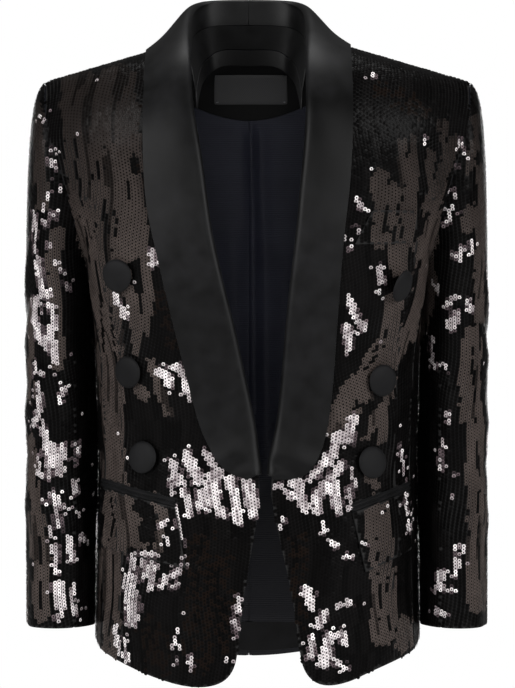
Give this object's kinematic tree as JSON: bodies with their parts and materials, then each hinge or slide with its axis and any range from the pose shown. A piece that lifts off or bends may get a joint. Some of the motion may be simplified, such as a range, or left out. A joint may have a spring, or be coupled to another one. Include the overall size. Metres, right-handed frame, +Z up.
{
  "type": "sequinned shawl collar blazer",
  "caption": "Hip-length tailored blazer of black sequinned cloth with a satin shawl collar, covered buttons and flap pockets, hollow and filled out as worn",
  "frame": {"origin": "base of the neck between the shoulders, where the wearer carries the jacket", "axes": "X across the shoulders towards the wearer's left, Y from the front to the back, Z up"},
  "size_m": [0.4612, 0.245, 0.6816],
  "materials": {
    "sequins": "black flat sequins sewn in rows, glossy",
    "satin": "black duchesse satin, soft sheen",
    "lining": "blue-black lining twill, matte",
    "label": "blank woven label"
  },
  "bodies": {
    "root": {"front_right": "sequins", "front_left": "sequins", "side_right": "sequins", "side_left": "sequins", "back_right": "sequins", "back_left": "sequins", "sleeve_top_right": "sequins", "sleeve_top_left": "sequins", "sleeve_under_right": "sequins", "sleeve_under_left": "sequins", "collar_right": "satin", "collar_left": "satin", "neck_band": "satin", "neck_strip": "satin", "facing_back_neck": "lining", "label": "label", "lining_back_right": "lining", "lining_back_left": "lining", "facing_back_hem": "satin", "facing_front_right": "satin", "facing_front_left": "satin", "pocket_lip_upper_right": "satin", "pocket_lip_lower_right": "satin", "pocket_flap_right": "sequins", "pocket_lip_upper_left": "satin", "pocket_lip_lower_left": "satin", "pocket_flap_left": "sequins", "chest_welt": "sequins", "button_right_1": "satin", "button_right_2": "satin", "button_right_3": "satin", "button_left_1": "satin", "button_left_2": "satin", "button_left_3": "satin"}
  },
  "joints": []
}
